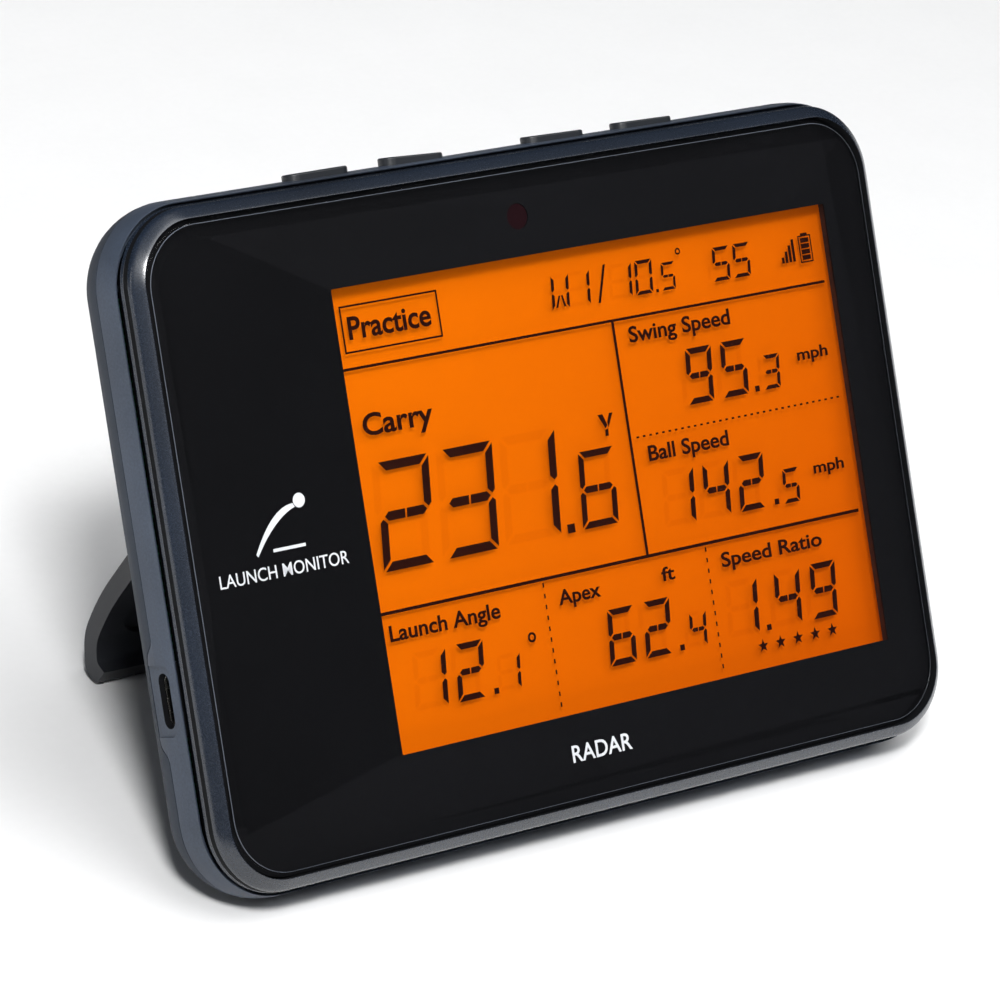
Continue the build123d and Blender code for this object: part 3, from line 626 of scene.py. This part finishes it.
def grained(name, light, dark, grain, depth, gloss, ior=1.5, specular=0.5):
    """grain and depth in millimetres, gloss as the least and greatest roughness."""
    m = blank(name)
    place = add(m, "ShaderNodeTexCoord").outputs["Object"]
    fine = noise(m, place, grain, 3.0, 0.6)
    slow = noise(m, place, DRIFT, 2.0)
    mixed = arithmetic(m, "MULTIPLY_ADD", {1: 0.35, 2: 0.32}, {0: fine})
    drift = arithmetic(m, "MULTIPLY_ADD", {1: 0.5, 2: -0.25}, {0: slow})
    shade = arithmetic(m, "ADD", links={0: mixed, 1: drift})
    colour = ramp(m, shade, ((0.25, dark), (0.75, light)))
    rough = spread(m, fine, *gloss)
    skin = add(m, "ShaderNodeBsdfPrincipled", values={"IOR": ior, "Specular IOR Level": specular},
               links={"Base Color": colour, "Roughness": rough, "Normal": raised(m, fine, depth)})
    return output(m, skin.outputs[0])


PAINT = grained("satin_lacquer_on_abs", "#4a5464", "#1f242d", 0.42, 0.012, (0.42, 0.56),
                specular=0.36)
# painted shade: a darker, rougher copy of the case lacquer, so the rear cover reads darker
REAR_SHADED = grained("satin_lacquer_rear_painted_shade", "#3b434f", "#1b1f26", 0.42, 0.012, (0.55, 0.68),
               specular=0.18)
BEZEL = grained("satin_lacquer_bezel", "#1d2634", "#0f141c", 0.3, 0.002, (0.22, 0.32), specular=0.8)
# painted shade: bare black plastic that darkens the port and the groove, where shade falls
BARE_ABS_AND_RECESS_SHADE = grained("bare_abs_and_painted_recess_shade", "#0f1013", "#0a0b0c", 0.4, 0.008, (0.6, 0.75),
                    specular=0.12)
PRINT_BLACK = grained("screen_print_black", "#0d0d10", "#09090b", 0.12, 0.0005, (0.5, 0.6),
                      specular=0.1)
RUBBER = grained("moulded_rubber_black", "#1c1c1e", "#131314", 0.45, 0.02, (0.7, 0.85), ior=1.52)
RED_ACRYLIC = grained("dyed_acrylic_red", "#241014", "#1b0c0f", 0.6, 0.001, (0.12, 0.2),
                      ior=1.49, specular=0.2)
STAND = grained("spark_textured_abs_stand", "#292b30", "#1f2126", 0.35, 0.012, (0.42, 0.55))
MATERIALS = {
    "case_paint": PAINT, "bezel_paint": BEZEL, "stand_plastic": STAND,
    "black_print": PRINT_BLACK, "rubber_black": RUBBER, "red_filter": RED_ACRYLIC,
    "button_plastic": grained("moulded_abs_keys", "#24272c", "#1b1e22", 0.25, 0.004, (0.34, 0.44)),
    "black_plastic": grained("moulded_abs_black", "#15161a", "#0e0f11", 0.4, 0.008, (0.4, 0.55)),
    "white_plastic": grained("moulded_nylon_white", "#e4e1d8", "#d3cfc4", 0.4, 0.006, (0.35, 0.5)),
    "black_tape": grained("foam_tape_black", "#18181a", "#0f0f10", 0.3, 0.03, (0.8, 0.95)),
    "silicone": grained("silicone_rubber_grey", "#8f9296", "#7f8286", 0.5, 0.01, (0.45, 0.6), ior=1.41),
    "black_epoxy": grained("epoxy_chip_body", "#1b1b1d", "#121213", 0.15, 0.004, (0.5, 0.65)),
    "speaker_black": grained("pressed_paper_cone", "#1a1a1c", "#101011", 0.5, 0.03, (0.6, 0.8)),
    "red_wire": grained("pvc_wire_red", "#b3201c", "#8f1512", 0.8, 0.004, (0.35, 0.45)),
    "ferrite": grained("fired_ferrite", "#3a3a3c", "#29292b", 0.25, 0.01, (0.6, 0.75)),
}
# painted highlight: the frosted edge band is made light grey to draw the thin line of light along it
MILLED_EDGE_HIGHLIGHT = grained("milled_edge_painted_highlight", "#5f656f", "#474c55", 0.2, 0.004, (0.3, 0.45), ior=1.49)
WHITE_INK = grained("screen_print_white", "#dcdee1", "#cfd2d6", 0.3, 0.0005, (0.5, 0.6), specular=0.1)
print(len(MATERIALS), "grained materials")

# %% [markdown]
# ## Metals
# The port's shell is drawn stainless steel, the screws are zinc plated or blackened, and the
# antenna patches are gilded copper. Drawing and rolling leave fine lines along the metal, so the
# noise is stretched along one direction before it gives the gloss.

# %% Plated and rolled metals
LINE_DEPTH = 0.002         # depth of the rolling lines, in millimetres


def metal(name, light, dark, line, stretch, gloss):
    """line is the width of a rolling line in millimetres, and stretch how far it runs."""
    m = blank(name)
    place = add(m, "ShaderNodeTexCoord").outputs["Object"]
    drawn = add(m, "ShaderNodeMapping", values={"Scale": (1 / stretch, 1, 1)},
                links={"Vector": place}).outputs[0]
    lines = noise(m, drawn, line, 4.0)
    colour = ramp(m, lines, ((0.3, dark), (0.7, light)))
    skin = add(m, "ShaderNodeBsdfPrincipled", values={"Metallic": 1.0},
               links={"Base Color": colour, "Roughness": spread(m, lines, *gloss),
                      "Normal": raised(m, lines, LINE_DEPTH)})
    return output(m, skin.outputs[0])


MATERIALS["tinned_steel"] = metal("drawn_stainless_shell", "#c9c6c0", "#a8a5a0", 0.12, 12, (0.18, 0.32))
MATERIALS["zinc_screw"] = metal("zinc_plated_steel", "#b9bcc2", "#989ba2", 0.3, 1, (0.25, 0.4))
MATERIALS["black_screw"] = metal("black_oxide_steel", "#2b2b2d", "#1c1c1e", 0.3, 1, (0.35, 0.5))
MATERIALS["pin_steel"] = metal("ground_steel_pin", "#bdbdbd", "#9c9c9c", 0.1, 8, (0.2, 0.3))
MATERIALS["gold_copper"] = metal("gilded_copper_patch", "#e0b25a", "#c08f3c", 0.3, 1, (0.22, 0.35))
MATERIALS["pouch_foil"] = metal("laminated_pouch_foil", "#b4b6b8", "#8e9092", 1.5, 1, (0.3, 0.45))
print("with the metals,", len(MATERIALS), "materials")

# %% [markdown]
# ## Circuit boards
# Under its solder mask a board carries copper tracks that show as slightly lighter, slightly
# raised lines. A brick pattern, turned by the screen's own frame, stands for them.

# %% Solder mask over tracks
INTO_SCREEN = TO_ROW.inverted()
TRACK_HEIGHT = 0.03        # copper under its mask, in millimetres


def in_screen(material):
    """Object coordinates turned into the screen's frame."""
    place = add(material, "ShaderNodeTexCoord").outputs["Object"]
    values = {"Location": INTO_SCREEN.translation, "Rotation": INTO_SCREEN.to_euler()}
    return add(material, "ShaderNodeMapping", values=values, links={"Vector": place}).outputs[0]


def board(name, mask, track, pitch):
    """pitch is the spacing of the tracks in millimetres."""
    m = blank(name)
    layout = {"Scale": 1.0, "Mortar Size": 0.18 * pitch * MM, "Mortar Smooth": 0.2,
              "Brick Width": 7 * pitch * MM, "Row Height": pitch * MM,
              "Color1": (0, 0, 0, 1), "Color2": (0.08, 0.08, 0.08, 1), "Mortar": (1, 1, 1, 1)}
    bricks = add(m, "ShaderNodeTexBrick", values=layout, links={"Vector": in_screen(m)})
    tracks = bricks.outputs["Color"]
    colour = ramp(m, tracks, ((0.0, mask), (1.0, track)))
    skin = add(m, "ShaderNodeBsdfPrincipled",
               values={"Roughness": 0.32, "IOR": 1.55, "Coat Weight": 0.2},
               links={"Base Color": colour, "Normal": raised(m, tracks, TRACK_HEIGHT)})
    return output(m, skin.outputs[0])


MATERIALS["circuit_board"] = board("solder_mask_green", "#0e4a2a", "#1b6a40", 1.27)
MATERIALS["radar_laminate"] = board("solder_mask_on_ptfe", "#e6e2d2", "#d8c38a", 2.2)
print("with the boards,", len(MATERIALS), "materials")

# %% [markdown]
# ## Clear acrylic and display glass
# The lens and the glass cell are clear and flat, so all that is seen of them is what they mirror.
# A Fresnel share of mirror over plain see-through does that, and keeps the readout where it is.
# The inner side of each pane is left out, or it would mirror twice.

# %% Clear panes


def clear(name, ior, gloss, tint):
    m = blank(name)
    place = add(m, "ShaderNodeTexCoord").outputs["Object"]
    haze = noise(m, place, 3, 4.0)
    fresnel = add(m, "ShaderNodeFresnel", values={"IOR": ior}).outputs[0]
    inside = add(m, "ShaderNodeNewGeometry").outputs["Backfacing"]
    outside = arithmetic(m, "SUBTRACT", {0: 1.0}, {1: inside})
    share = arithmetic(m, "MULTIPLY", links={0: fresnel, 1: outside})
    through = add(m, "ShaderNodeBsdfTransparent", values={"Color": srgb(tint)}).outputs[0]
    rough = spread(m, haze, *gloss)
    mirror = add(m, "ShaderNodeBsdfAnisotropic", links={"Roughness": rough}).outputs[0]
    pane = add(m, "ShaderNodeMixShader", links={"Fac": share, 1: through, 2: mirror})
    return output(m, pane.outputs[0])


MATERIALS["clear_acrylic"] = clear("polished_clear_acrylic", 1.49, (0.01, 0.03), "#fbfbfb")
MATERIALS["lcd_cell"] = clear("display_glass_cell", 1.05, (0.02, 0.05), "#ffffff")
print("with the panes,", len(MATERIALS), "materials")

# %% [markdown]
# ## The lit film
# Eight diodes at the right edge feed a light guide, and a film over it spreads their light. The
# film both glows and reflects the room, so the dark bars throw soft shadows on it. The glow fades
# a little towards the right and the lower edge, and the film's colour darkens with it as painted
# shade. Along the top the glow is dimmed as painted shade of the frame.

# %% Orange film, light guide and the readout's ink


def glowing(name, bright, dim, paper, strength):
    """Glows from bright to dim across the display; paper is the film's colour at the two ends, darker
    at the dim end as painted shade.
    """
    m = blank(name)
    place = in_screen(m)
    sides = add(m, "ShaderNodeSeparateXYZ", links={"Vector": place})
    across = spread(m, sides.outputs["X"], 0, 1, -42 * MM, 72 * MM)
    down = spread(m, sides.outputs["Y"], 0, 1, 40 * MM, -41 * MM)
    share = arithmetic(m, "MULTIPLY", {1: 0.4}, {0: down})
    fall = arithmetic(m, "MULTIPLY_ADD", {1: 0.6}, {0: across, 2: share})
    grain = noise(m, place, 0.5, 2.0)
    speck = arithmetic(m, "MULTIPLY_ADD", {1: 0.06}, {0: grain, 2: fall})
    light = ramp(m, speck, ((0.05, bright), (1.0, dim)))
    # painted shade: the film's own colour darkens along with the glow's fall
    sheet = ramp(m, speck, ((0.05, paper[0]), (1.0, paper[1])))
    # painted shade: the glow dims along the top edge, standing in for the frame's shadow
    edge = spread(m, sides.outputs["Y"], 0.55, 1.0, 40 * MM, 37.5 * MM)
    power = arithmetic(m, "MULTIPLY", {1: strength}, {0: edge})
    skin = add(m, "ShaderNodeBsdfPrincipled", values={"Roughness": 0.6, "Specular IOR Level": 0.0},
               links={"Base Color": sheet, "Emission Color": light, "Emission Strength": power})
    return output(m, skin.outputs[0])


MATERIALS["diffuser_film"] = glowing("diffuser_film_lit_orange", "#ff8000", "#dc5a00",
                                    ("#c05800", "#ac4800"), 0.34)
RESTING_INK = glowing("film_behind_resting_bars", "#fc7c00", "#d85600",
                      ("#bc5500", "#a84500"), 0.325)
MATERIALS["light_guide"] = glowing("moulded_light_guide", "#ff9a30", "#e06800",
                                  ("#ffb060", "#f0a050"), 0.4)
INK = grained("driven_liquid_crystal", "#2c0d05", "#210803", 0.3, 0.0005, (0.5, 0.6), specular=0.05)
print("with the film and the guide,", len(MATERIALS), "materials")

# %% [markdown]
# ## Hand out the materials
# A CAD node keeps its own mesh and only takes the material of its slot. A new piece takes the
# material of the slot it shows, except the readout and the marks, whose inks are their own. The
# port and groove walls take bare black plastic, which is also painted shade for these recesses.

# %% Assign
PORT = Vector(next(m["pos_m"] for m in frame["record"]["mounts"] if m["name"] == "charging_port"))


def coat(piece, material):
    piece.data.materials.clear()
    piece.data.materials.append(material)


def paint_bare_recess_shade(piece, in_recess_shade):
    """Gives the faces that pass a test bare black plastic, as painted shade for a recess."""
    piece.data.materials.append(BARE_ABS_AND_RECESS_SHADE)
    for face in piece.data.polygons:
        face.material_index = int(in_recess_shade(face))
    print(piece.name, "has", sum(f.material_index for f in piece.data.polygons), "unpainted faces")


def in_port(face):
    """The walls of the port's opening."""
    place = (face.center - PORT) / MM
    inside = abs(place.dot(UP)) < 5.0 and abs(place.dot(OUT)) < 2.2
    return inside and 0.07 < place.x < 3.0


def in_groove(face):
    """The bezel's upright walls, but for the painted line along the groove."""
    height = (face.center - TO_ROW.translation).dot(OUT) / MM
    upright = abs(face.normal.dot(OUT)) < 0.4
    return upright and (-3.1 < height < -1.9 or height < -3.95)


for node, piece in NODES.items():
    coat(piece, MATERIALS[SLOT_OF[node]])
for name, piece in PIECES.items():
    coat(piece, MATERIALS[piece["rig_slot"]])
for name in ("readout_figures", "readout_rules", "readout_words"):
    coat(PIECES[name], INK)
for name in ("lens_sign", "lens_words"):
    coat(PIECES[name], WHITE_INK)
coat(PIECES["readout_resting"], RESTING_INK)
# painted highlight: the light grey band along the lens edge
coat(PIECES["lens_milled_edge"], MILLED_EDGE_HIGHLIGHT)
# painted shade: the rear cover takes the darker copy of the lacquer
coat(PIECES["rear_moulding"], REAR_SHADED)
# painted shade: the walls of the port and of the bezel's groove take the black
paint_bare_recess_shade(PIECES["housing_moulding"], in_port)
paint_bare_recess_shade(PIECES["bezel_band"], in_groove)

# %% [markdown]
# ## Floor and light
# The object stands on a pale floor. One softbox high on the left front is small enough to throw
# the readout's shadows. A wide one overhead lights the floor, a narrow one draws a line down the
# left side, a weak one by the camera fills, and a dim room keeps the lens black.

# %% Stage
bpy.ops.object.select_all(action="DESELECT")
bpy.ops.mesh.primitive_plane_add(size=12, location=(0, 0, 0))
floor = bpy.context.object
floor.name = "floor"
coat(floor, grained("matt_board_white", "#f4f4f4", "#efefef", 2.0, 0.01, (0.8, 0.9), specular=0.1))


def softbox(name, size, place, aim, power):
    light = bpy.data.lights.new(name, "AREA")
    light.shape, light.size, light.size_y, light.energy = "RECTANGLE", size[0], size[1], power
    lamp = bpy.data.objects.new(name, light)
    bpy.context.scene.collection.objects.link(lamp)
    lamp.location = place
    lamp.rotation_euler = (Vector(aim) - Vector(place)).to_track_quat("-Z", "Y").to_euler()
    return lamp


CENTRE = (0, 0, 0.06)
softbox("key", (0.26, 0.26), (-0.72, -0.8, 1.25), CENTRE, 24)
softbox("overhead", (2.2, 2.2), (0.5, -0.95, 2.2), (0.2, -0.5, 0), 50)
softbox("side", (0.1, 0.9), (-1.5, -0.1, 0.5), CENTRE, 1.8)
softbox("fill", (2.4, 1.6), (-1.6, -2.2, 1.5), CENTRE, 1)
world = bpy.data.worlds.new("dim_room")
world.use_nodes = True
world.node_tree.nodes["Background"].inputs["Color"].default_value = srgb("#ccd8ea")
world.node_tree.nodes["Background"].inputs["Strength"].default_value = 0.05
bpy.context.scene.world = world
bpy.context.scene.view_settings.view_transform = "Standard"

# %% [markdown]
# ## Camera
# A long lens from about a metre away keeps the sides of the case nearly parallel. The camera looks
# down from the left front and is rolled a little.

# %% Camera
CAMERA_LENS = 206.35                              # millimetres, on the default sensor
CAMERA_PLACE = (-0.61953, -0.65627, 0.51350)      # metres
CAMERA_TURN = (62.1965, -10.3382, -37.8986)       # degrees
camera = bpy.data.objects.new("camera", bpy.data.cameras.new("camera"))
bpy.context.scene.collection.objects.link(camera)
camera.data.lens = CAMERA_LENS
camera.data.clip_start, camera.data.clip_end = 0.05, 20
camera.location = CAMERA_PLACE
camera.rotation_euler = [radians(turn) for turn in CAMERA_TURN]
bpy.context.scene.camera = camera
print("the camera is", round(camera.location.length, 2), "m from the middle of the foot")
